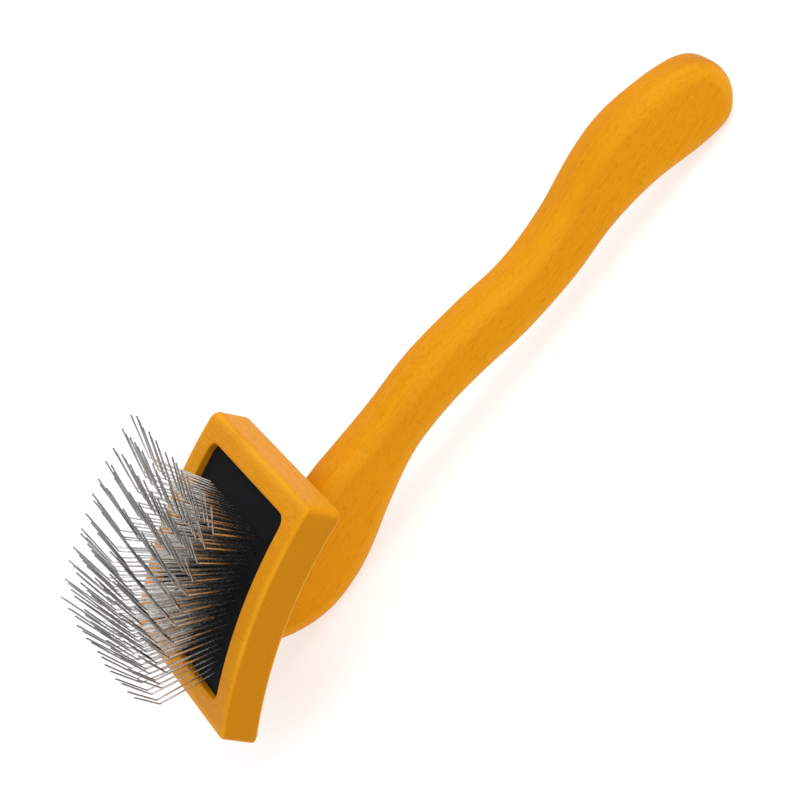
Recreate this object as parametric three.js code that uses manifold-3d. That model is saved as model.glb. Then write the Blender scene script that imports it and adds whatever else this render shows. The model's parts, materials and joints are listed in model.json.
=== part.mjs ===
// A slicker brush: a beech head with a rubber pad full of bent steel pins, on a flat S-shaped handle.
// Millimetres, +Z up. The brush lies on its back with its pins up: X is its width, Y runs from the
// head to the handle's tip, and the origin is the middle of its footprint.
//
// It is drawn in the head's own axes: x is the width, y runs along the head towards the handle, z points
// out of the pad, and the origin is the middle of the head's front. The root group then lays it down.

import * as THREE from "three";
import { mergeVertices } from "three/addons/utils/BufferGeometryUtils.js";
import Module from "manifold-3d";

// Head: a board bent round an axis along x, convex on the pin side.
const HEAD_WIDTH = 85;
const HEAD_LENGTH = 86.4;
const HEAD_THICKNESS = 13.4;
const HEAD_RADIUS = 190; // of its front face
const HEAD_EDGE = 1.8; // rounding of the edges of its side faces
const HEAD_CORNER = 2.6; // rounding of the edges of its end faces
const HEAD_EDGE_STEPS = 3;
const BEND_STEPS = 19; // flats that stand for the bend
const CORNER_STEPS = 4;
const GAP = 0.3; // between pieces that touch

// Pad pocket and what lies in it. Depths are measured from the head's front face.
const POCKET_WIDTH = 65.2;
const POCKET_START = -33.9;
const POCKET_END = 34.7;
const POCKET_CORNER = 4;
const POCKET_DEPTH = 8.3;
const PAD_DEPTH = 2;
const PAD_THICKNESS = 2;
const FOAM_THICKNESS = 2.5;

// Pins: bent wires, in rows across the head, each row on a crown wire behind the pad.
const ROWS = 12;
const PINS_PER_ROW = 17;
const ROW_PITCH = HEAD_LENGTH / BEND_STEPS; // so that each row stands in the middle of a flat
const FIRST_ROW = 3.5 * ROW_PITCH - HEAD_LENGTH / 2;
const OUTER_PIN = 24;
const WIRE_RADIUS = 0.36; // to the corners of its plain three-sided section
const WIRE_SIDES = 3;
const CROWN_RADIUS = 0.45;
const CROWN_SIDES = 4;
const SHANK = 23.2; // pad to knee
const TIP = 16.5; // knee to point
const SHANK_LEAN = -10.5; // degrees from the pad's normal, towards the handle
const KNEE_BEND = 48.5; // degrees, towards the handle
const ROW_FAN = 0.41; // degrees more lean for each millimetre along the pad
const SHANK_SPLAY = 17.5; // degrees sideways, at the outer pins
const TIP_SPLAY = 26;
const CROWN_DEPTH = 0.75; // below the pad's back
const HOLE = [1.1, 1.5]; // across and along the head

// Handle: a plank cut to an S, with well rounded edges.
const HANDLE_THICKNESS = 18.2;
const HANDLE_EDGE = 4.2;
const HANDLE_EDGE_STEPS = 4;
const LIE_ANGLE = 21.5; // degrees about x that bring belly and tip down to one level

// Its outline from the foot's front, round the tip, to the foot's back.
const HANDLE_OUTLINE = [
  [24, -10], [30, -23], [45, -30.3], [67, -39.6], [89, -47.6], [110, -58.8], [128, -69.6],
  [148, -76.4], [171, -80.5], [187, -86], [203, -96.8], [213, -106.8], [215.4, -115.4], [212.6, -123.6],
  [206.4, -129], [198.2, -130.4], [187, -124.4], [170, -111.5], [152, -102], [131, -95], [109, -85],
  [90, -73.4], [75, -65.5], [58, -59.4], [39, -57.4], [21, -57], [8.5, -55.2], [-4.8, -50.2],
  [-15.4, -41.1], [-22, -29], [-26, -10],
];
const OUTLINE_STEPS = 84;

// Screws through the pocket's floor into the handle's foot.
const SCREWS = { screw_front: -10, screw_rear: 14 };
const SCREW = { head: 4, shank: 2, cone: 2.2, length: 24, point: 4, slot: 0.8 };
const SCREW_SIDES = 16;
const SCREW_DEPTH = POCKET_DEPTH + GAP; // of the face of its head

const WOOD = new THREE.MeshStandardMaterial({ color: 0xefa215, roughness: 0.5, metalness: 0 });
const RUBBER = new THREE.MeshStandardMaterial({ color: 0x15161a, roughness: 0.85, metalness: 0 });
const FOAM = new THREE.MeshStandardMaterial({ color: 0x3a3b3f, roughness: 1, metalness: 0 });
const STEEL = new THREE.MeshStandardMaterial({ color: 0xc4c6c9, roughness: 0.25, metalness: 1 });

const wasm = await Module();
wasm.setup();

const radians = THREE.MathUtils.degToRad;

// A closed geometry as a solid that can be joined and cut.
function solid(geometry) {
  const loose = geometry.index ? geometry.toNonIndexed() : geometry;
  const plain = new THREE.BufferGeometry().setAttribute("position", loose.getAttribute("position"));
  const merged = mergeVertices(plain, 1e-4);
  return new wasm.Manifold(
    new wasm.Mesh({
      numProp: 3,
      vertProperties: merged.getAttribute("position").array,
      triVerts: new Uint32Array(merged.index.array),
    }),
  );
}

// A named mesh of a solid, flat shaded.
function piece(name, made, material) {
  const mesh = made.getMesh();
  const indexed = new THREE.BufferGeometry()
    .setAttribute("position", new THREE.BufferAttribute(mesh.vertProperties, 3))
    .setIndex(new THREE.BufferAttribute(mesh.triVerts, 1));
  const geometry = indexed.toNonIndexed();
  geometry.computeVertexNormals();
  const result = new THREE.Mesh(geometry, material);
  result.name = name;
  return result;
}

// A profile of points (y, z), extruded across the width and centred on x = 0.
function acrossWidth(shape, width, edge, edgeSteps) {
  const geometry = new THREE.ExtrudeGeometry(shape, {
    depth: width - 2 * edge,
    bevelEnabled: edge > 0,
    bevelThickness: edge,
    bevelSize: edge,
    bevelOffset: -edge,
    bevelSegments: edgeSteps,
  });
  geometry.translate(0, 0, edge - width / 2);
  const [x, y, z] = [new THREE.Vector3(1, 0, 0), new THREE.Vector3(0, 1, 0), new THREE.Vector3(0, 0, 1)];
  geometry.applyMatrix4(new THREE.Matrix4().makeBasis(y, z, x));
  return geometry;
}

// Height of a surface that lies a given depth below the head's front, at a place along the head.
function heightAt(depth, along) {
  const radius = HEAD_RADIUS - depth;
  return Math.sqrt(radius * radius - along * along) - HEAD_RADIUS;
}

// The outline of a bent board between two depths, with straight ends and rounded corners.
function bentBoard(top, bottom, halfLength, corner) {
  const inner = halfLength - corner;
  const face = (depth, from, to) => {
    const steps = new Array(BEND_STEPS + 1).fill(0).map((zero, i) => from + ((to - from) * i) / BEND_STEPS);
    return steps.map((along) => new THREE.Vector2(along, heightAt(depth, along)));
  };
  const round = (x, y, from) => {
    const arc = new THREE.EllipseCurve(x, y, corner, corner, from, from + Math.PI / 2);
    return corner > 0 ? arc.getPoints(CORNER_STEPS).slice(1, -1) : [];
  };
  const high = heightAt(top, inner) - corner;
  const low = heightAt(bottom, inner) + corner;
  const end = (side, height) => (corner > 0 ? [new THREE.Vector2(side * halfLength, height)] : []);
  return new THREE.Shape([
    ...face(bottom, -inner, inner),
    ...round(inner, low, -Math.PI / 2),
    ...end(1, low),
    ...end(1, high),
    ...round(inner, high, 0),
    ...face(top, inner, -inner),
    ...round(-inner, high, Math.PI / 2),
    ...end(-1, high),
    ...end(-1, low),
    ...round(-inner, low, Math.PI),
  ]);
}

// A layer in the pocket: its rounded outline, between two depths of the bent board.
function pocketLayer(top, bottom, clearance) {
  const half = POCKET_WIDTH / 2 - clearance;
  const start = POCKET_START + clearance;
  const end = POCKET_END - clearance;
  const corner = POCKET_CORNER - clearance;
  const outline = new THREE.Shape();
  const up = Math.PI / 2;
  outline.absarc(half - corner, start + corner, corner, -up, 0, false);
  outline.absarc(half - corner, end - corner, corner, 0, up, false);
  outline.absarc(corner - half, end - corner, corner, up, 2 * up, false);
  outline.absarc(corner - half, start + corner, corner, 2 * up, 3 * up, false);
  const reach = 2 * HEAD_THICKNESS;
  const through = { depth: 2 * reach, bevelEnabled: false, curveSegments: CORNER_STEPS };
  const column = new THREE.ExtrudeGeometry(outline, through);
  column.translate(0, 0, -reach);
  const band = acrossWidth(bentBoard(top, bottom, HEAD_LENGTH / 2, 0), HEAD_WIDTH, 0, 0);
  return solid(column).intersect(solid(band));
}

// A profile of points (radius, height), turned round the z axis.
function turned(profile) {
  const points = profile.map(([radius, height]) => new THREE.Vector2(radius, height));
  const body = new THREE.LatheGeometry(points, SCREW_SIDES);
  body.rotateX(Math.PI / 2);
  return solid(body);
}

// A screw with its head up, the middle of the head's face at the origin.
function screwSolid() {
  const { head, shank, cone, length, point, slot } = SCREW;
  const body = turned([[0, -length], [shank, point - length], [shank, -cone], [head, 0], [0, 0]]);
  return body.subtract(solid(new THREE.BoxGeometry(3 * head, slot, 2 * slot)));
}

// The hole that a screw sits in, open above its head.
function screwHole() {
  const head = SCREW.head + GAP;
  const shank = SCREW.shank + GAP;
  const bottom = -SCREW.length - GAP;
  return turned([
    [0, bottom],
    [shank, bottom + SCREW.point],
    [shank, -SCREW.cone],
    [head, 0],
    [head, SCREW.cone],
    [0, SCREW.cone],
  ]);
}

function screwPlace(along) {
  return [0, along, heightAt(SCREW_DEPTH, along)];
}

function headBlock() {
  const outline = bentBoard(0, HEAD_THICKNESS, HEAD_LENGTH / 2, HEAD_CORNER);
  let made = solid(acrossWidth(outline, HEAD_WIDTH, HEAD_EDGE, HEAD_EDGE_STEPS));
  made = made.subtract(pocketLayer(-GAP, POCKET_DEPTH, 0));
  for (const along of Object.values(SCREWS)) {
    made = made.subtract(screwHole().translate(screwPlace(along)));
  }
  return made;
}

function handle() {
  const points = HANDLE_OUTLINE.map(([along, out]) => new THREE.Vector2(along, out));
  const curve = new THREE.SplineCurve(points);
  const outline = new THREE.Shape(curve.getPoints(OUTLINE_STEPS).reverse());
  let made = solid(acrossWidth(outline, HANDLE_THICKNESS, HANDLE_EDGE, HANDLE_EDGE_STEPS));
  const head = bentBoard(0, HEAD_THICKNESS + GAP, HEAD_LENGTH / 2, 0);
  made = made.subtract(solid(acrossWidth(head, HEAD_WIDTH, 0, 0)));
  for (const along of Object.values(SCREWS)) {
    made = made.subtract(screwHole().translate(screwPlace(along)));
  }
  return made;
}

// A broken line as a path: its corners are its only points.
class BrokenLine extends THREE.Curve {
  constructor(points) {
    super();
    this.points = points;
  }
  getPoint(t) {
    const place = t * (this.points.length - 1);
    const i = Math.min(Math.floor(place), this.points.length - 2);
    return this.points[i].clone().lerp(this.points[i + 1], place - i);
  }
  getPointAt(t) {
    return this.getPoint(t);
  }
  getTangentAt(t) {
    const step = 0.25 / (this.points.length - 1);
    const before = this.getPoint(Math.max(0, t - step));
    return this.getPoint(Math.min(1, t + step)).sub(before).normalize();
  }
}

function wire(points, radius, sides) {
  const corners = new Array(sides).fill(0).map((zero, i) => {
    const angle = (2 * Math.PI * i) / sides;
    return new THREE.Vector2(radius * Math.cos(angle), radius * Math.sin(angle));
  });
  const path = new BrokenLine(points);
  const steps = points.length - 1;
  return solid(new THREE.ExtrudeGeometry(new THREE.Shape(corners), { steps, extrudePath: path }));
}

// Where a row stands along the head, and the pad's slope there.
function rowFrame(row) {
  const along = FIRST_ROW + ROW_PITCH * row;
  return { along, tilt: Math.asin(along / (HEAD_RADIUS - PAD_DEPTH)) };
}

// Direction that leans from straight out of the pad towards the handle, and sideways.
function direction(tilt, lean, splay) {
  const angle = tilt + lean;
  return new THREE.Vector3(Math.tan(splay), Math.sin(angle), Math.cos(angle)).normalize();
}

// The bent wire of one pin: crown, pad's face, knee and point.
function pinLine(row, pin) {
  const { along, tilt } = rowFrame(row);
  const share = (2 * pin) / (PINS_PER_ROW - 1) - 1;
  const lean = radians(SHANK_LEAN + ROW_FAN * along);
  const shank = direction(tilt, lean, radians(SHANK_SPLAY * share));
  const point = direction(tilt, lean + radians(KNEE_BEND), radians(TIP_SPLAY * share));
  const face = new THREE.Vector3(share * OUTER_PIN, along, heightAt(PAD_DEPTH, along));
  const below = (PAD_THICKNESS + CROWN_DEPTH) / Math.cos(lean);
  const crown = face.clone().addScaledVector(shank, -below);
  const knee = face.clone().addScaledVector(shank, SHANK);
  return { face, shank, points: [crown, knee, knee.clone().addScaledVector(point, TIP)] };
}

function pinRow(row) {
  const ends = [0, PINS_PER_ROW - 1].map((pin) => pinLine(row, pin).points[0]);
  const outward = ends[1].clone().sub(ends[0]).normalize().multiplyScalar(CROWN_RADIUS);
  let made = wire([ends[0].sub(outward), ends[1].add(outward)], CROWN_RADIUS, CROWN_SIDES);
  for (let pin = 0; pin < PINS_PER_ROW; pin++) {
    made = made.add(wire(pinLine(row, pin).points, WIRE_RADIUS, WIRE_SIDES));
  }
  return made;
}

// The pad, with a hole along each pin that leaves it room to rock.
function rubberPad() {
  let made = pocketLayer(PAD_DEPTH, PAD_DEPTH + PAD_THICKNESS, GAP);
  const through = 5 * PAD_THICKNESS;
  for (let row = 0; row < ROWS; row++) {
    for (let pin = 0; pin < PINS_PER_ROW; pin++) {
      const { face, shank } = pinLine(row, pin);
      const hole = new THREE.BoxGeometry(HOLE[0], HOLE[1], through);
      const turn = new THREE.Quaternion().setFromUnitVectors(new THREE.Vector3(0, 0, 1), shank);
      hole.applyQuaternion(turn);
      hole.translate(face.x, face.y, face.z);
      made = made.subtract(solid(hole));
    }
  }
  return made;
}

function foamCushion() {
  return pocketLayer(POCKET_DEPTH - GAP - FOAM_THICKNESS, POCKET_DEPTH - GAP, GAP);
}

const brush = new THREE.Group();
brush.add(piece("head_block", headBlock(), WOOD));
brush.add(piece("handle", handle(), WOOD));
brush.add(piece("rubber_pad", rubberPad(), RUBBER));
brush.add(piece("foam_cushion", foamCushion(), FOAM));
for (const [name, along] of Object.entries(SCREWS)) {
  const screw = piece(name, screwSolid(), STEEL);
  screw.position.set(...screwPlace(along));
  brush.add(screw);
}
for (let row = 0; row < ROWS; row++) {
  const name = "pin_row_" + String(row + 1).padStart(2, "0");
  brush.add(piece(name, pinRow(row), STEEL));
}

// Lay it down, and move the middle of its footprint to the origin.
brush.rotation.x = radians(LIE_ANGLE);
const object = new THREE.Group();
object.add(brush);
const box = new THREE.Box3().setFromObject(object, true);
brush.position.set(-(box.min.x + box.max.x) / 2, -(box.min.y + box.max.y) / 2, -box.min.z);

export default object;
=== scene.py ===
"""Looks of the slicker brush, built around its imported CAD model.

Shapes are worked out in the head's own axes, as in the CAD model: x across the head, y along it towards the
handle, z out of the pad, with the origin in the middle of the head's front. head_axes() reads from the
record's mounts where those axes are. Lengths are in metres, written as a number of millimetres times MM.
"""

import json
import math
import random

import bpy
from mathutils import Matrix, Vector


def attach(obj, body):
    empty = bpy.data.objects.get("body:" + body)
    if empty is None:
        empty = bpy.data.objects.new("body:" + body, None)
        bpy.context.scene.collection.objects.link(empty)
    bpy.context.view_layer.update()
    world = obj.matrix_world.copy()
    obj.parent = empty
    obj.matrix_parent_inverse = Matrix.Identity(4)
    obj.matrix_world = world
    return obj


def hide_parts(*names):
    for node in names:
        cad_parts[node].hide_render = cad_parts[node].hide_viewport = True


MM = 0.001

# Head: a board bent round an axis along x.
HEAD_WIDTH = 85 * MM
HEAD_LENGTH = 86.4 * MM
HEAD_THICKNESS = 13.4 * MM
HEAD_RADIUS = 190 * MM
HEAD_CORNER = 3.4 * MM  # rounding of its corners, seen from the front
HEAD_EDGE = 1.6 * MM  # rounding of its edges
END_EDGE = 2.6 * MM  # how far that rounding reaches in at the two ends

# Pocket, pad and foam, with depths measured from the head's front.
POCKET_WIDTH = 65.2 * MM
POCKET_START = -33.9 * MM
POCKET_END = 34.7 * MM
POCKET_CORNER = 4 * MM
POCKET_DEPTH = 8.3 * MM
POCKET_LIP = 0.9 * MM  # rounding of its edge
PAD_DEPTH = 2 * MM
PAD_THICKNESS = 2 * MM
PAD_EDGE = 0.8 * MM
FOAM_TOP = 5.5 * MM
FOAM_EDGE = 0.5 * MM
CLEARANCE = 0.15 * MM

# Pins.
ROWS = 12
PINS_PER_ROW = 17
ROW_PITCH = HEAD_LENGTH / 19
FIRST_ROW = 3.5 * ROW_PITCH - HEAD_LENGTH / 2
OUTER_PIN = 24 * MM
WIRE = 0.32 * MM
SHANK = 23.1 * MM
TIP = 16.4 * MM
SHANK_LEAN = -10.5
KNEE_BEND = 48.5
ROW_FAN = 0.41 / MM
SHANK_SPLAY = 17.5
TIP_SPLAY = 26
CROWN_DEPTH = 0.75 * MM
KNEE_RADIUS = 1.3 * MM
CROWN_BEND = 0.5 * MM

# How unevenly the pins stand: the most that each angle, in degrees, is off either way.
SHANK_LEAN_OFF = 1.3
SHANK_SPLAY_OFF = 2
KNEE_BEND_OFF = 1.8
TIP_SPLAY_OFF = 2.5
PIN_SEED = 40

# Handle: a plank cut to an S. Its outline runs from the foot's front, round the tip, to the foot's back.
HANDLE_THICKNESS = 18.2 * MM
HANDLE_EDGE = 5.8 * MM  # how far in the rounding reaches on its flat sides
HANDLE_DOME = 6.6 * MM  # and how far round its thickness
HANDLE_CREASE = 15  # in degrees along the rounding, where it leaves the flat sides
HANDLE_OUTLINE = [
    (24, -6), (30, -23), (45, -30.3), (67, -39.6), (89, -47.6), (110, -58.8), (128, -69.6), (148, -76.4),
    (171, -80.5), (187, -86), (203, -96.8), (213, -106.8), (215.4, -115.4), (212.6, -123.6), (206.4, -129),
    (198.2, -130.4), (187, -124.4), (170, -111.5), (152, -102), (131, -95), (109, -85), (90, -73.4),
    (75, -65.5), (58, -59.4), (39, -57.4), (21, -57), (8.5, -55.2), (-4.8, -50.2), (-15.4, -41.1),
    (-22, -29), (-27, -6),
]

SPAN_POINTS = 24  # of the curve between two points of the outline
OUTLINE_POINTS = 520  # of the whole curve, before it is smoothed
SMOOTH_ROUNDS = 40
RIM_POINTS = 460  # of the part below the head, in each loop of the skin
FOOT_POINTS = 40  # of the same loop along the head's back
FLAT_MARGIN = 1.2 * MM  # from the rounding to the first loop on the flat sides

# Corners sharper than this, in degrees, are shaded as edges.
SHARP_ANGLE = 50

# Screws through the pocket's floor into the handle's foot, and their countersunk heads.
SCREWS = {"screw_front": -10 * MM, "screw_rear": 14 * MM}
SCREW_DEPTH = POCKET_DEPTH - 0.1 * MM
SCREW_HEAD = 4 * MM
SCREW_CONE = 2.3 * MM
SCREW_LENGTH = 23.5 * MM
SCREW_POINT = 4 * MM
SHANK_CORE = 1.45 * MM
THREAD_RADIUS = 1.95 * MM
THREAD_PITCH = 1.5 * MM
THREAD_START = 5 * MM
SLOT = (0.8 * MM, 0.8 * MM)

# Camera, in the head's axes: where it stands, and its own right and down directions.
CAMERA_AT = (709.94 * MM, 278.78 * MM, 389.84 * MM)
CAMERA_RIGHT = (0.4197, 0.34385, -0.84001)
CAMERA_DOWN = (0.37677, -0.90797, -0.18342)
SENSOR = 36
LENS = 112.94

FLOOR_SIZE = 12
FLOOR_DROP = 0.2 * MM  # below the brush, so that the two don't coincide


# ---------------------------------------------------------------- places

def head_axes(record):
    """The head's axes as a matrix, from the flat mounts on the head's sides and end."""
    mounts = {mount["name"]: mount for mount in record["mounts"]}
    across = Vector(mounts["head_side_right"]["axis"])
    along = -Vector(mounts["head_end"]["axis"])
    out = across.cross(along)
    right = Vector(mounts["head_side_right"]["pos_m"])
    left = Vector(mounts["head_side_left"]["pos_m"])
    origin = (right + left) / 2 + out * HEAD_THICKNESS / 2
    axes = Matrix((across, along, out)).transposed().to_4x4()
    return Matrix.Translation(origin) @ axes


def height_at(depth, along):
    """Height of a surface that lies a given depth below the head's front."""
    radius = HEAD_RADIUS - depth
    return math.sqrt(radius * radius - along * along) - HEAD_RADIUS


# ---------------------------------------------------------------- mesh building

def new_piece(name, verts, faces, axes):
    """A smooth-shaded mesh object, sharp only at real corners, from points in the head's axes."""
    mesh = bpy.data.meshes.new(name)
    mesh.from_pydata([axes @ Vector(v) for v in verts], [], faces)
    mesh.validate()
    mesh.shade_smooth()
    mesh.set_sharp_from_angle(angle=math.radians(SHARP_ANGLE))
    made = bpy.data.objects.new(name, mesh)
    bpy.context.scene.collection.objects.link(made)
    return made


def paint(made, name, values):
    """Stores one number per vertex for the material to read."""
    attribute = made.data.attributes.new(name, "FLOAT", "POINT")
    attribute.data.foreach_set("value", values)


def paint_end_grain(made, axes, grain):
    """Marks how squarely the surface cuts the grain, which runs along one of the head's axes."""
    along = axes.to_3x3().col[grain]
    shares = (abs(vertex.normal.dot(along)) for vertex in made.data.vertices)
    paint(made, "end_grain", [max(0.0, min(1.0, (share - 0.6) / 0.35)) for share in shares])


def skin(loops):
    """Quads between closed loops of equal length, with a cap on the first and the last."""
    count = len(loops[0])
    verts = [point for loop in loops for point in loop]
    faces = [tuple(reversed(range(count)))]
    for ring in range(len(loops) - 1):
        low = ring * count
        for i in range(count):
            j = (i + 1) % count
            faces.append((low + i, low + j, low + count + j, low + count + i))
    last = (len(loops) - 1) * count
    faces.append(tuple(range(last, last + count)))
    return verts, faces


def rounded_rectangle(half, start, end, corner, per_side, per_corner):
    """Points round a rounded rectangle, anticlockwise seen from outside the pad."""
    points = []
    centres = [
        (half - corner, start + corner, -90),
        (half - corner, end - corner, 0),
        (corner - half, end - corner, 90),
        (corner - half, start + corner, 180),
    ]
    for index, (x, y, first) in enumerate(centres):
        for step in range(per_corner + 1):
            angle = math.radians(first + 90 * step / per_corner)
            points.append((x + corner * math.cos(angle), y + corner * math.sin(angle)))
        nx, ny, turn = centres[(index + 1) % 4]
        here = points[-1]
        there = (nx + corner * math.cos(math.radians(turn)), ny + corner * math.sin(math.radians(turn)))
        for step in range(1, per_side):
            share = step / per_side
            points.append((here[0] + (there[0] - here[0]) * share, here[1] + (there[1] - here[1]) * share))
    return points


def board_loop(half, start, end, corner, depth, per_side=30, per_corner=6):
    """A closed loop on a surface that follows the head's bend."""
    flat = rounded_rectangle(half, start, end, corner, per_side, per_corner)
    return [(x, y, height_at(depth, y)) for x, y in flat]


def quarter(steps, start=0):
    """Shares from a face to a wall: (how far in from the wall, how far below the face).

    They follow a quarter circle from start degrees on; a start over 0 leaves a crease at the face.
    """
    first = math.radians(start)
    turns = [first + (math.pi / 2 - first) * step / steps for step in range(steps + 1)]
    across, down = 1 - math.sin(first), math.cos(first)
    return [((1 - math.sin(turn)) / across, 1 - math.cos(turn) / down) for turn in turns]


# ---------------------------------------------------------------- head

def head_block(axes):
    """The bent board with its pocket, as loops from the middle of its back round to the pocket's floor."""
    half, length = HEAD_WIDTH / 2, HEAD_LENGTH / 2
    loops, wear_and_highlight = [], []

    def add(outline, depth, worn_and_highlit=0.0):
        loops.append(board_loop(*outline, depth))
        wear_and_highlight.append(max(0.0, worn_and_highlit))

    def rim(inset):
        """The head's outline, drawn in by a share of its edges' rounding."""
        wide, end = half - inset * HEAD_EDGE, length - inset * END_EDGE
        return wide, -end, end, HEAD_CORNER - inset * HEAD_EDGE

    def opening(out):
        """The pocket's outline, let out by a distance."""
        return POCKET_WIDTH / 2 + out, POCKET_START - out, POCKET_END + out, POCKET_CORNER + out

    def between(inner, outer, shares, depth):
        for share in shares:
            add([a + (b - a) * share for a, b in zip(inner, outer)], depth)

    def pinhole(outline):
        """The same outline, shrunk to almost nothing about its middle."""
        wide, start, end, corner = outline
        middle, tiny = (start + end) / 2, 0.04
        return wide * tiny, middle + (start - middle) * tiny, middle + (end - middle) * tiny, corner * tiny

    back_rings = 12
    between(pinhole(rim(1)), rim(1), [step / back_rings for step in range(back_rings)], HEAD_THICKNESS)
    # Painted highlight, partly real wear, along the rounded edges of the back and the front.
    for inset, sink in quarter(6):
        add(rim(inset), HEAD_THICKNESS - sink * HEAD_EDGE, 1 - abs(2 * sink - 0.6))
    add(rim(0), 0.7 * HEAD_THICKNESS)
    add(rim(0), 0.3 * HEAD_THICKNESS)
    for inset, sink in reversed(quarter(6)):
        add(rim(inset), sink * HEAD_EDGE, 1 - abs(2 * sink - 0.6))
    between(opening(POCKET_LIP), rim(1), (0.8, 0.6, 0.4, 0.2), 0)
    # A weaker painted highlight, partly real wear, along the pocket's rounded lip.
    for inset, sink in quarter(5):
        add(opening(inset * POCKET_LIP), sink * POCKET_LIP, 0.6 - abs(2 * sink - 0.6))
    add(opening(0), POCKET_DEPTH)
    between(pinhole(opening(0)), opening(0), (0.9, 0.7, 0.5, 0.3, 0), POCKET_DEPTH)
    verts, faces = skin(loops)
    made = new_piece("head_wood", verts, faces, axes)
    # One value per loop for the painted edge highlight and wear.
    paint(made, "edge_wear_and_highlight", [worn_and_highlit for worn_and_highlit in wear_and_highlight for _ in loops[0]])
    paint_end_grain(made, axes, 0)
    return made


# ---------------------------------------------------------------- handle

def spline(points, per_span):
    """A uniform Catmull-Rom curve through the points."""
    last = len(points) - 1
    line = []
    for span in range(last):
        a, b, c, d = (points[min(max(span + k, 0), last)] for k in (-1, 0, 1, 2))
        for step in range(per_span):
            t = step / per_span
            square = 2 * a - 5 * b + 4 * c - d
            cube = 3 * b - a - 3 * c + d
            line.append(0.5 * (2 * b + (c - a) * t + square * t**2 + cube * t**3))
    line.append(points[-1])
    return line


def evenly(line, count):
    """The same line with evenly spaced points."""
    lengths = [0.0]
    for a, b in zip(line, line[1:]):
        lengths.append(lengths[-1] + (b - a).length)
    made, seg = [], 0
    for i in range(count):
        target = lengths[-1] * i / (count - 1)
        while seg < len(line) - 2 and lengths[seg + 1] < target:
            seg += 1
        share = (target - lengths[seg]) / max(lengths[seg + 1] - lengths[seg], 1e-12)
        made.append(line[seg].lerp(line[seg + 1], share))
    return made


def smooth_line(line, rounds):
    """Evens out the curvature without shrinking the line."""
    for turn in range(2 * rounds):
        factor = 0.5 if turn % 2 == 0 else -0.52
        moved = [line[0]]
        for a, b, c in zip(line, line[1:], line[2:]):
            moved.append(b + factor * ((a + c) / 2 - b))
        line = moved + [line[-1]]
    return line


def offset_line(line, distance):
    """The line moved sideways towards the wood."""
    made = []
    for i, point in enumerate(line):
        ahead = line[min(i + 1, len(line) - 1)] - line[max(i - 1, 0)]
        inward = Vector((ahead.y, -ahead.x)).normalized()
        made.append(point + inward * distance)
    return made


def below_head(line, depth):
    """The stretch of the line that lies under the head's back, with its ends on that surface."""
    def gap(point):
        return height_at(depth, min(max(point.x, -0.1), 0.1)) - point.y

    inside = [i for i, point in enumerate(line) if gap(point) >= 0]
    first, last = inside[0], inside[-1]

    def crossing(a, b):
        share = gap(a) / (gap(a) - gap(b))
        return a.lerp(b, share)

    start = crossing(line[first - 1], line[first])
    end = crossing(line[last], line[last + 1])
    return [start] + line[first:last + 1] + [end]


def handle_body(axes):
    """The S-shaped plank with rounded edges, its foot cut to the head's back."""
    corners = [Vector((x * MM, y * MM)) for x, y in HANDLE_OUTLINE]
    outline = smooth_line(evenly(spline(corners, SPAN_POINTS), OUTLINE_POINTS), SMOOTH_ROUNDS)
    foot = HEAD_THICKNESS - 0.1 * MM
    half = HANDLE_THICKNESS / 2
    flat = half - HANDLE_DOME
    side = []
    # The rounded edges get half as much painted highlight, partly real wear, as the head's.
    for inset, sink in reversed(quarter(9, HANDLE_CREASE)):
        side.append((inset * HANDLE_EDGE, flat + (1 - sink) * HANDLE_DOME, 1 - abs(2 * sink - 0.4)))
    side.append((HANDLE_EDGE + FLAT_MARGIN, half, 0.0))
    loops, wear_and_highlight = [], []
    for inset, x, worn_and_highlit in [(i, -x, w) for i, x, w in reversed(side)] + side:
        line = evenly(below_head(offset_line(outline, inset), foot), RIM_POINTS)
        start, end = line[0].x, line[-1].x
        top = [end + (start - end) * step / FOOT_POINTS for step in range(1, FOOT_POINTS)]
        loop = [(x, p.x, p.y) for p in line] + [(x, y, height_at(foot, y)) for y in top]
        loops.append(loop)
        wear_and_highlight.append(max(0.0, worn_and_highlit) * 0.5)
    verts, faces = skin(loops)
    made = new_piece("handle_wood", verts, faces, axes)
    count = len(loops[0])
    paint(made, "edge_wear_and_highlight", [w for w in wear_and_highlight for _ in range(count)])
    paint_end_grain(made, axes, 1)
    return made


# ---------------------------------------------------------------- pad and foam

def slab(name, top, bottom, edge, axes, shape_top, rings, per_side):
    """A layer in the pocket with rounded edges; shape_top(x, y) sinks its top by a distance."""
    half = POCKET_WIDTH / 2 - CLEARANCE
    start, end = POCKET_START + CLEARANCE, POCKET_END - CLEARANCE
    middle, reach = (start + end) / 2, (end - start) / 2
    corner = POCKET_CORNER - CLEARANCE

    def ring(share, inset, depth, shaped):
        wide, tall = half * share - inset, reach * share - inset
        radius = max(corner * share - inset, 0.2 * MM)
        flat = rounded_rectangle(wide, middle - tall, middle + tall, radius, per_side, 8)
        return [(x, y, height_at(depth + (shape_top(x, y) if shaped else 0), y)) for x, y in flat]

    loops = [ring(share, 0, bottom, False) for share in (0.05, 0.3, 0.6, 0.9, 1)]
    for inset, sink in reversed(quarter(4)):
        loops.append(ring(1, inset * edge, top + sink * edge, True))
    for step in range(1, rings):
        loops.append(ring(1 - 0.97 * step / rings, edge * (1 - step / rings), top, True))
    verts, faces = skin(loops)
    return new_piece(name, verts, faces, axes)


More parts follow.
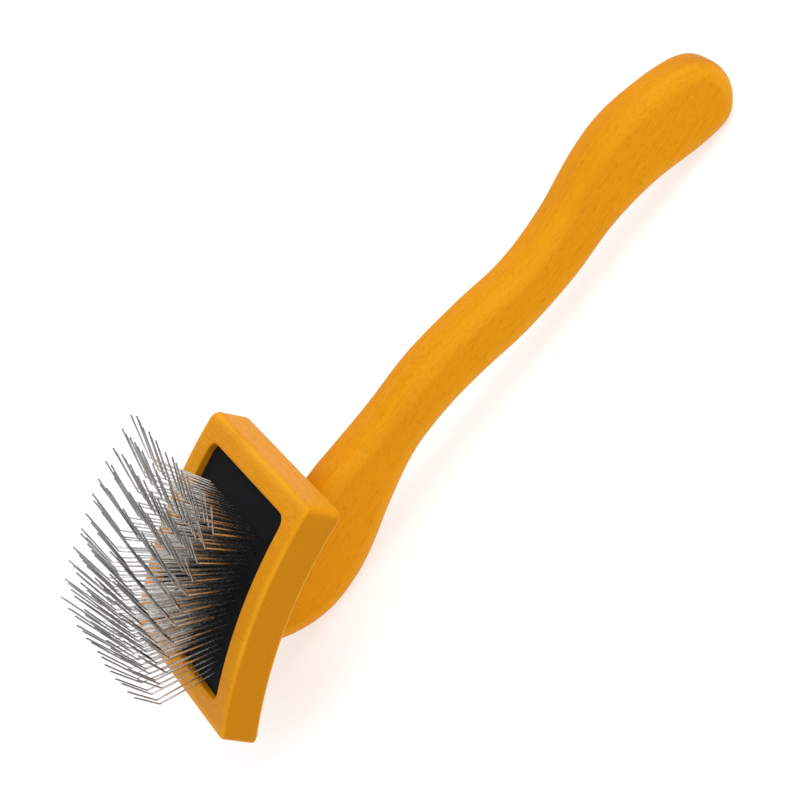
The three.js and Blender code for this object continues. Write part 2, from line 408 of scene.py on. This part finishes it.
def rubber_pad(axes, feet):
    """The black rubber face, very slightly pillowed, with a small pit round each pin."""
    half, reach = POCKET_WIDTH / 2, (POCKET_END - POCKET_START) / 2
    middle = (POCKET_START + POCKET_END) / 2
    pit_width, pit_depth = 0.75 * MM, 0.35 * MM
    cell = 3 * MM
    near = {}
    for foot in feet:
        near.setdefault((round(foot[0] / cell), round(foot[1] / cell)), []).append(foot)

    def shape(x, y):
        pillow = 0.5 * MM * max((x / half) ** 6, ((y - middle) / reach) ** 6)
        sink = 0.0
        cx, cy = round(x / cell), round(y / cell)
        for i in (cx - 1, cx, cx + 1):
            for j in (cy - 1, cy, cy + 1):
                for fx, fy in near.get((i, j), ()):
                    away = math.hypot(x - fx, y - fy) / pit_width
                    sink = max(sink, pit_depth * math.exp(-away * away))
        return pillow + sink

    bottom = PAD_DEPTH + PAD_THICKNESS
    return slab("rubber_face", PAD_DEPTH, bottom, PAD_EDGE, axes, shape, rings=58, per_side=92)


def foam_cushion(axes):
    """Foam under the pad, dented a little by the crowns that lie on it."""
    def shape(x, y):
        row = (y - FIRST_ROW) / ROW_PITCH
        away = abs(row - round(row)) * ROW_PITCH
        return 0.1 * MM * math.exp(-(away / (0.6 * MM)) ** 2)

    bottom = POCKET_DEPTH - CLEARANCE
    return slab("foam_layer", FOAM_TOP, bottom, FOAM_EDGE, axes, shape, rings=40, per_side=40)


# ---------------------------------------------------------------- pins

def direction(tilt, lean, splay):
    """Leans from straight out of the pad towards the handle, and sideways. Angles in degrees."""
    angle = tilt + math.radians(lean)
    return Vector((math.tan(math.radians(splay)), math.sin(angle), math.cos(angle))).normalized()


def pin_points(row, share, chance):
    """The bent wire of one pin: crown, pad's face, knee and point, a little uneven as real ones are."""
    along = FIRST_ROW + ROW_PITCH * row
    tilt = math.asin(along / (HEAD_RADIUS - PAD_DEPTH))
    lean = SHANK_LEAN + ROW_FAN * along
    face = Vector((share * OUTER_PIN, along, height_at(PAD_DEPTH, along)))
    true_shank = direction(tilt, lean, SHANK_SPLAY * share)
    below = (PAD_THICKNESS + CROWN_DEPTH) / math.cos(math.radians(lean))
    crown = face - true_shank * below

    def off(most):
        return chance.uniform(-most, most)

    shank = direction(tilt, lean + off(SHANK_LEAN_OFF), SHANK_SPLAY * share + off(SHANK_SPLAY_OFF))
    bend = lean + KNEE_BEND + off(KNEE_BEND_OFF)
    point = direction(tilt, bend, TIP_SPLAY * share + off(TIP_SPLAY_OFF))
    knee = face + shank * (SHANK + chance.uniform(-0.5, 0.1) * MM)
    end = knee + point * (TIP + chance.uniform(-0.6, 0) * MM)
    return crown, face, knee, end


def rounded_bend(before, corner, after, radius, steps):
    """Points round a corner of a wire, between its two straight stretches."""
    a, b = (before - corner).normalized(), (after - corner).normalized()
    turn = math.pi - a.angle(b)
    reach = radius * math.tan(turn / 2)
    start, end = corner + a * reach, corner + b * reach
    made = []
    for step in range(steps + 1):
        t = step / steps
        made.append(start * (1 - t) ** 2 + corner * 2 * t * (1 - t) + end * t**2)
    return made


def tube(line, radius, sides=8):
    """A round wire along a line, with slightly rounded ends, as loops."""
    normal = None
    loops = []
    last = len(line) - 1
    for i, point in enumerate(line):
        ahead = (line[min(i + 1, last)] - line[max(i - 1, 0)]).normalized()
        if normal is None:
            normal = ahead.orthogonal().normalized()
        normal = (normal - ahead * normal.dot(ahead)).normalized()
        other = ahead.cross(normal)

        def ring(centre, size):
            turns = [2 * math.pi * k / sides for k in range(sides)]
            return [centre + (normal * math.cos(t) + other * math.sin(t)) * size for t in turns]

        if i == 0:
            loops.append(ring(point, radius * 0.6))
            loops.append(ring(point + ahead * radius * 0.4, radius))
        elif i == last:
            loops.append(ring(point - ahead * radius * 0.4, radius))
            loops.append(ring(point, radius * 0.6))
        else:
            loops.append(ring(point, radius))
    return skin([[tuple(p) for p in loop] for loop in loops])


def pin_row(row, axes):
    """One row of pins: staples of two, each one wire from point to point, and a last pin on its own."""
    chance = random.Random(PIN_SEED + row)
    verts, faces, outer = [], [], []

    def add(line, out):
        """Adds a wire; out says how far towards a pin's point each place of its line is."""
        made_verts, made_faces = tube(line, WIRE)
        base = len(verts)
        verts.extend(made_verts)
        faces.extend(tuple(base + i for i in face) for face in made_faces)
        out = [out[0]] + out + [out[-1]]
        outer.extend(value for value in out for _ in range(len(made_verts) // len(out)))

    def leg(points):
        """The wire from the point down to the pad's face, and how far towards the point each place is."""
        crown, face, knee, end = points
        bend = rounded_bend(end, knee, face, KNEE_RADIUS, 5)
        line = [end, end.lerp(bend[0], 0.5)] + bend + [face]
        return line, [1.0, 0.75] + [0.2] * len(bend) + [0.0]

    places = [2 * pin / (PINS_PER_ROW - 1) - 1 for pin in range(PINS_PER_ROW)]
    pins = [pin_points(row, place, chance) for place in places]
    for left, right in zip(pins[0::2], pins[1::2]):
        down, far_down = leg(left)
        up, far_up = leg(right)
        under = rounded_bend(left[1], left[0], right[0], CROWN_BEND, 4)
        under += rounded_bend(left[0], right[0], right[1], CROWN_BEND, 4)
        add(down + under + up[::-1], far_down + [0.0] * len(under) + far_up[::-1])
    last = pins[-1]
    down, far_down = leg(last)
    hook = last[0] + (pins[-2][0] - last[0]) * 0.4
    hidden = rounded_bend(last[1], last[0], hook, CROWN_BEND, 4) + [hook]
    add(down + hidden, far_down + [0.0] * len(hidden))
    made = new_piece(f"steel_pins_{row + 1:02d}", verts, faces, axes)
    # How far towards the point each vertex lies, which sets the painted shade on the pin's outer part.
    paint(made, "painted_tip_shade", outer)
    return made


# ---------------------------------------------------------------- screws

def wood_screw(name, along, axes):
    """A slotted, countersunk wood screw with its thread, its head up at a place along the head."""
    sides, per_turn = 32, 10
    loops = []

    def ring(depth, size):
        """A loop at a depth below the screw's face; size gives its radius at each share of a turn."""
        turns = [step / sides for step in range(sides)]
        spots = [(size(t), 2 * math.pi * t) for t in turns]
        loops.append([(r * math.cos(a), r * math.sin(a), -depth) for r, a in spots])

    def thread(depth):
        """The thread's radius: a ridge that climbs one pitch in a turn, and dies out at both ends."""
        taper = min(1.0, (SCREW_LENGTH - depth) / SCREW_POINT)
        run_out = min(1.0, (depth - THREAD_START) / THREAD_PITCH)
        height = (THREAD_RADIUS - SHANK_CORE) * max(0.0, run_out)

        def size(turn):
            phase = (depth / THREAD_PITCH - turn) % 1
            ridge = max(0.0, 1 - abs(phase - 0.5) / 0.32)
            return max(0.05 * MM, (SHANK_CORE + height * ridge) * taper)
        return size

    for share in (0.05, 0.4, 0.7, 0.94):
        ring(0, lambda turn: SCREW_HEAD * share)
    ring(0.12 * MM, lambda turn: SCREW_HEAD)
    ring(0.3 * MM, lambda turn: SCREW_HEAD)
    ring(SCREW_CONE, lambda turn: THREAD_RADIUS)
    ring(THREAD_START - 0.5 * MM, lambda turn: THREAD_RADIUS)
    steps = round((SCREW_LENGTH - THREAD_START) / THREAD_PITCH * per_turn)
    for step in range(steps + 1):
        depth = THREAD_START + (SCREW_LENGTH - THREAD_START) * step / steps
        ring(depth, thread(depth))
    verts, faces = skin([loop[::-1] for loop in loops])
    place = axes @ Matrix.Translation((0, along, height_at(SCREW_DEPTH, along)))
    made = new_piece(f"threaded_{name}", verts, faces, place)
    width, depth = SLOT
    bpy.ops.mesh.primitive_cube_add(size=1)
    cutter = bpy.context.object
    cutter.matrix_world = place @ Matrix.Diagonal((3 * SCREW_HEAD, width, 2 * depth, 1))
    slot = made.modifiers.new("slot", "BOOLEAN")
    slot.object = cutter
    slot.solver = "EXACT"
    whole = made.evaluated_get(bpy.context.evaluated_depsgraph_get())
    made.data = bpy.data.meshes.new_from_object(whole)
    made.modifiers.clear()
    bpy.data.objects.remove(cutter)
    return made


# ---------------------------------------------------------------- materials

class Nodes:
    """Short calls for building a node material."""

    def __init__(self, name):
        self.material = bpy.data.materials.new(name)
        self.material.use_nodes = True
        self.tree = self.material.node_tree
        self.shader = self.tree.nodes["Principled BSDF"]

    def add(self, kind, **settings):
        node = self.tree.nodes.new(kind)
        for key, value in settings.items():
            setattr(node, key, value)
        return node

    def link(self, source, target):
        self.tree.links.new(source, target)

    def place(self, scale=(1, 1, 1), turn=(0, 0, 0)):
        """Object coordinates, turned and then stretched."""
        coords = self.add("ShaderNodeTexCoord")
        rotate = self.add("ShaderNodeMapping")
        rotate.inputs["Rotation"].default_value = [math.radians(a) for a in turn]
        stretch = self.add("ShaderNodeMapping")
        stretch.inputs["Scale"].default_value = scale
        self.link(coords.outputs["Object"], rotate.inputs["Vector"])
        self.link(rotate.outputs["Vector"], stretch.inputs["Vector"])
        return stretch.outputs["Vector"]

    def noise(self, where, scale, detail=3.0, rough=0.5):
        node = self.add("ShaderNodeTexNoise")
        node.inputs["Scale"].default_value = scale
        node.inputs["Detail"].default_value = detail
        node.inputs["Roughness"].default_value = rough
        self.link(where, node.inputs["Vector"])
        return node.outputs["Fac"]

    def ramp(self, value, low, high, low_to=0.0, high_to=1.0):
        node = self.add("ShaderNodeMapRange")
        node.interpolation_type = "SMOOTHSTEP"
        for key, number in zip(("From Min", "From Max", "To Min", "To Max"), (low, high, low_to, high_to)):
            node.inputs[key].default_value = number
        self.link(value, node.inputs["Value"])
        return node.outputs["Result"]

    def maths(self, kind, first, second):
        node = self.add("ShaderNodeMath", operation=kind)
        for socket, value in zip(node.inputs, (first, second)):
            if isinstance(value, (int, float)):
                socket.default_value = value
            else:
                self.link(value, socket)
        return node.outputs["Value"]

    def mix(self, amount, first, second, kind="MIX"):
        node = self.add("ShaderNodeMix", data_type="RGBA", blend_type=kind)
        if isinstance(amount, (int, float)):
            node.inputs["Factor"].default_value = amount
        else:
            self.link(amount, node.inputs["Factor"])
        for key, value in (("A", first), ("B", second)):
            socket = [s for s in node.inputs if s.name == key and s.type == "RGBA"][0]
            if isinstance(value, tuple):
                socket.default_value = (*value, 1)
            else:
                self.link(value, socket)
        return [s for s in node.outputs if s.type == "RGBA"][0]

    def bump(self, height, distance, strength=1.0):
        node = self.add("ShaderNodeBump")
        node.inputs["Distance"].default_value = distance
        node.inputs["Strength"].default_value = strength
        self.link(height, node.inputs["Height"])
        self.link(node.outputs["Normal"], self.shader.inputs["Normal"])

    def attribute(self, name):
        return self.add("ShaderNodeAttribute", attribute_name=name).outputs["Fac"]


STAIN = (0.68, 0.265, 0.001)
STAIN_DEEP = (0.56, 0.195, 0.001)
STAIN_DARK = (0.30, 0.085, 0.001)
# Pale stain for the painted highlight, partly real wear, on the rounded edges.
WEAR_AND_HIGHLIGHT_TINT = (0.80, 0.38, 0.018)
END_GRAIN = (0.49, 0.185, 0.001)


def wood(name, grain, turn, ring_axis, ring_width):
    """Stained beech.

    Its coordinates are turned by turn, in degrees; grain is then the axis, X, Y or Z, that the grain runs
    along, and ring_axis is the one that the growth rings follow each other along.
    """
    nodes = Nodes(name)
    plain = nodes.place((1, 1, 1), turn)

    def stretched(across, along):
        scale = [1 / across] * 3
        scale["XYZ".index(grain)] = 1 / along
        return nodes.place(tuple(scale), turn)

    cloud = nodes.noise(plain, 28, 2)
    figure = nodes.noise(stretched(6 * MM, 80 * MM), 1, 4, 0.55)
    lines = nodes.noise(stretched(0.4 * MM, 12 * MM), 1, 3, 0.6)
    pores = nodes.noise(stretched(0.16 * MM, 0.9 * MM), 1, 2)

    rings = nodes.add("ShaderNodeTexWave", wave_type="BANDS", bands_direction=ring_axis, wave_profile="SAW")
    for key, value in (("Scale", 1), ("Distortion", 9), ("Detail", 3), ("Detail Scale", 0.3)):
        rings.inputs[key].default_value = value
    # A wave repeats every pi/10 of its coordinate.
    nodes.link(stretched(ring_width * 10 / math.pi, 60 * ring_width), rings.inputs["Vector"])
    ring = nodes.ramp(rings.outputs["Fac"], 0.55, 1.0)

    cells = nodes.add("ShaderNodeTexVoronoi", feature="F1")
    cells.inputs["Scale"].default_value = 1
    nodes.link(stretched(0.5 * MM, 4 * MM), cells.inputs["Vector"])
    dash = nodes.ramp(cells.outputs["Distance"], 0.16, 0.32, 1, 0)
    flecks = nodes.maths("MULTIPLY", dash, nodes.ramp(nodes.noise(plain, 150, 2), 0.25, 0.6, 0.4, 1))

    end_grain = nodes.attribute("end_grain")
    colour = nodes.mix(nodes.ramp(figure, 0.35, 0.7), STAIN, STAIN_DEEP)
    colour = nodes.mix(nodes.ramp(cloud, 0.3, 0.7, 0.6, 0.9), colour, STAIN)
    colour = nodes.mix(nodes.ramp(lines, 0.45, 0.75, 0, 0.6), colour, STAIN_DEEP)
    colour = nodes.mix(nodes.ramp(pores, 0.5, 0.85, 0, 0.25), colour, STAIN_DEEP)
    colour = nodes.mix(nodes.maths("MULTIPLY", end_grain, 0.85), colour, END_GRAIN)
    ring_amount = nodes.maths("ADD", 0.07, nodes.maths("MULTIPLY", end_grain, 0.16))
    colour = nodes.mix(nodes.maths("MULTIPLY", ring, ring_amount), colour, STAIN_DARK)
    colour = nodes.mix(nodes.maths("MULTIPLY", flecks, 0.44), colour, STAIN_DARK)
    # Painted highlight, partly real wear: the rounded edges are patchily lightened towards a pale stain.
    worn_and_highlit = nodes.maths("MULTIPLY", nodes.attribute("edge_wear_and_highlight"), nodes.ramp(cloud, 0.3, 0.6, 0.2, 0.6))
    colour = nodes.mix(worn_and_highlit, colour, WEAR_AND_HIGHLIGHT_TINT)
    nodes.link(colour, nodes.shader.inputs["Base Color"])

    matt = nodes.maths("MULTIPLY", flecks, 0.15)
    matt = nodes.maths("ADD", nodes.ramp(lines, 0.3, 0.7, 0.42, 0.52), matt)
    nodes.link(matt, nodes.shader.inputs["Roughness"])
    relief = nodes.maths("SUBTRACT", nodes.maths("MULTIPLY", lines, 0.5), flecks)
    nodes.bump(nodes.maths("ADD", relief, nodes.maths("MULTIPLY", pores, 0.4)), 0.05 * MM, 0.5)
    nodes.shader.inputs["Specular IOR Level"].default_value = 0.07
    return nodes.material


def rubber():
    """Black rubber face with a faint cloth grain and a dusty surface."""
    nodes = Nodes("pad_rubber")
    where = nodes.place()
    dust = nodes.noise(where, 160, 4, 0.6)
    speckle = nodes.noise(where, 2600, 2, 0.6)
    colour = nodes.mix(nodes.ramp(dust, 0.35, 0.75), (0.002, 0.0023, 0.003), (0.0055, 0.006, 0.0075))
    colour = nodes.mix(nodes.ramp(speckle, 0.60, 0.75, 0, 0.5), colour, (0.028, 0.029, 0.032))
    nodes.link(colour, nodes.shader.inputs["Base Color"])
    nodes.link(nodes.ramp(dust, 0.3, 0.8, 0.62, 0.80), nodes.shader.inputs["Roughness"])
    nodes.bump(speckle, 0.06 * MM, 0.7)
    nodes.shader.inputs["Specular IOR Level"].default_value = 0.07
    return nodes.material


def foam():
    """Dark open foam."""
    nodes = Nodes("foam")
    where = nodes.place()
    cells = nodes.add("ShaderNodeTexVoronoi", feature="F1")
    cells.inputs["Scale"].default_value = 1100
    nodes.link(where, cells.inputs["Vector"])
    cell = cells.outputs["Distance"]
    colour = nodes.mix(nodes.ramp(cell, 0.1, 0.6), (0.02, 0.02, 0.022), (0.075, 0.075, 0.08))
    nodes.link(colour, nodes.shader.inputs["Base Color"])
    nodes.link(nodes.ramp(cell, 0, 0.7, 0.98, 0.85), nodes.shader.inputs["Roughness"])
    nodes.bump(cell, 0.3 * MM, 1.0)
    return nodes.material


def steel(name, tint, low, high, scale):
    """Bright drawn or plated steel with fine marks, and painted shade darkening the outer part of a pin."""
    nodes = Nodes(name)
    where = nodes.place()
    tone = nodes.noise(where, scale, 3, 0.6)
    fine = nodes.noise(where, scale * 9, 2, 0.6)
    dark = tuple(0.7 * c for c in tint)
    colour = nodes.mix(nodes.ramp(tone, 0.3, 0.7), tint, dark)
    # Painted shade: the outer part of a pin is darkened towards a tenth of the steel's tint.
    outer = nodes.maths("MULTIPLY", nodes.attribute("painted_tip_shade"), 0.8)
    colour = nodes.mix(outer, colour, tuple(0.1 * c for c in tint))
    nodes.link(colour, nodes.shader.inputs["Base Color"])
    nodes.link(nodes.ramp(fine, 0.3, 0.7, low, high), nodes.shader.inputs["Roughness"])
    nodes.bump(fine, 0.01 * MM, 0.4)
    nodes.shader.inputs["Metallic"].default_value = 1.0
    return nodes.material


# ---------------------------------------------------------------- stage

def studio(axes):
    """Pale floor, soft light and the camera at the photograph's angle."""
    scene = bpy.context.scene
    scene.view_settings.view_transform = "Standard"
    bpy.ops.mesh.primitive_plane_add(size=FLOOR_SIZE, location=(0, 0, -FLOOR_DROP))
    floor = bpy.context.object
    floor.name = "studio_floor"
    ground = Nodes("studio_floor")
    ground.shader.inputs["Base Color"].default_value = (0.42, 0.42, 0.42, 1)
    ground.shader.inputs["Roughness"].default_value = 0.9
    ground.shader.inputs["Specular IOR Level"].default_value = 0.1
    ground.shader.inputs["Emission Color"].default_value = (1, 1, 1, 1)
    ground.shader.inputs["Emission Strength"].default_value = 0.65
    floor.data.materials.append(ground.material)

    world = bpy.data.worlds.new("studio")
    world.use_nodes = True
    world.node_tree.nodes["Background"].inputs["Color"].default_value = (1, 1, 1, 1)
    world.node_tree.nodes["Background"].inputs["Strength"].default_value = 0.85
    scene.world = world

    def lamp(name, place, power, size):
        light = bpy.data.lights.new(name, "AREA")
        light.energy = power
        light.shape = "SQUARE"
        light.size = size
        made = bpy.data.objects.new(name, light)
        made.location = place
        made.rotation_euler = (-Vector(place)).to_track_quat("-Z", "Y").to_euler()
        scene.collection.objects.link(made)

    lamp("soft_key", (0.25, 1.3, 1.4), 16, 1.0)
    lamp("soft_fill", (1.7, -0.2, 0.9), 4, 1.2)
    lamp("soft_top", (-0.7, -0.3, 1.8), 4, 1.4)

    right, down = Vector(CAMERA_RIGHT).normalized(), Vector(CAMERA_DOWN)
    down = (down - right * down.dot(right)).normalized()
    view = right.cross(down)
    turn = Matrix((right, -down, -view)).transposed().to_4x4()
    camera_data = bpy.data.cameras.new("camera")
    camera_data.lens = LENS
    camera_data.sensor_width = SENSOR
    camera_data.clip_end = 20
    camera = bpy.data.objects.new("camera", camera_data)
    camera.matrix_world = axes @ Matrix.Translation(CAMERA_AT) @ turn
    scene.collection.objects.link(camera)
    scene.camera = camera


# ---------------------------------------------------------------- the brush

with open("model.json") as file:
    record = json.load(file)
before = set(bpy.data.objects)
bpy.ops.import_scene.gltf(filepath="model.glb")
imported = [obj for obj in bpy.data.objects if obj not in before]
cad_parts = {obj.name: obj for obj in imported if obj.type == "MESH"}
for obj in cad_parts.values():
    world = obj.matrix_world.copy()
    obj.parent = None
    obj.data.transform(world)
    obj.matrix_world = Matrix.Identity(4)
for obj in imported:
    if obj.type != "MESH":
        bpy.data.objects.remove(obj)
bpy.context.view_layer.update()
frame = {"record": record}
axes = head_axes(frame["record"])


def fit_out(made, body, slot, material, *nodes):
    """Gives a piece its material, its body and the CAD nodes that it stands for; slot is not used."""
    made.data.materials.clear()
    made.data.materials.append(material)
    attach(made, body)
    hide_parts(*nodes)
    return made


studio(axes)

head_stuff = wood("head_beech", "X", (14, 0, 0), "Y", 1.1 * MM)
handle_stuff = wood("handle_beech", "Y", (-5, 0, 0), "X", 2.6 * MM)
pin_stuff = steel("pin_steel", (0.92, 0.915, 0.90), 0.14, 0.28, 240)
screw_stuff = steel("screw_steel", (0.60, 0.58, 0.54), 0.25, 0.45, 400)

fit_out(head_block(axes), "brush", "stained_wood", head_stuff, "head_block")
fit_out(handle_body(axes), "brush", "stained_wood", handle_stuff, "handle")

shares = [2 * pin / (PINS_PER_ROW - 1) - 1 for pin in range(PINS_PER_ROW)]
feet = [(share * OUTER_PIN, FIRST_ROW + ROW_PITCH * row) for row in range(ROWS) for share in shares]
pad = fit_out(rubber_pad(axes, feet), "brush", "pad_rubber", rubber(), "rubber_pad")
cushion = fit_out(foam_cushion(axes), "brush", "foam", foam(), "foam_cushion")

for row in range(ROWS):
    body = f"pin_row_{row + 1:02d}"
    fit_out(pin_row(row, axes), body, "pin_steel", pin_stuff, body)

for name, along in SCREWS.items():
    fit_out(wood_screw(name, along, axes), "brush", "screw_steel", screw_stuff, name)
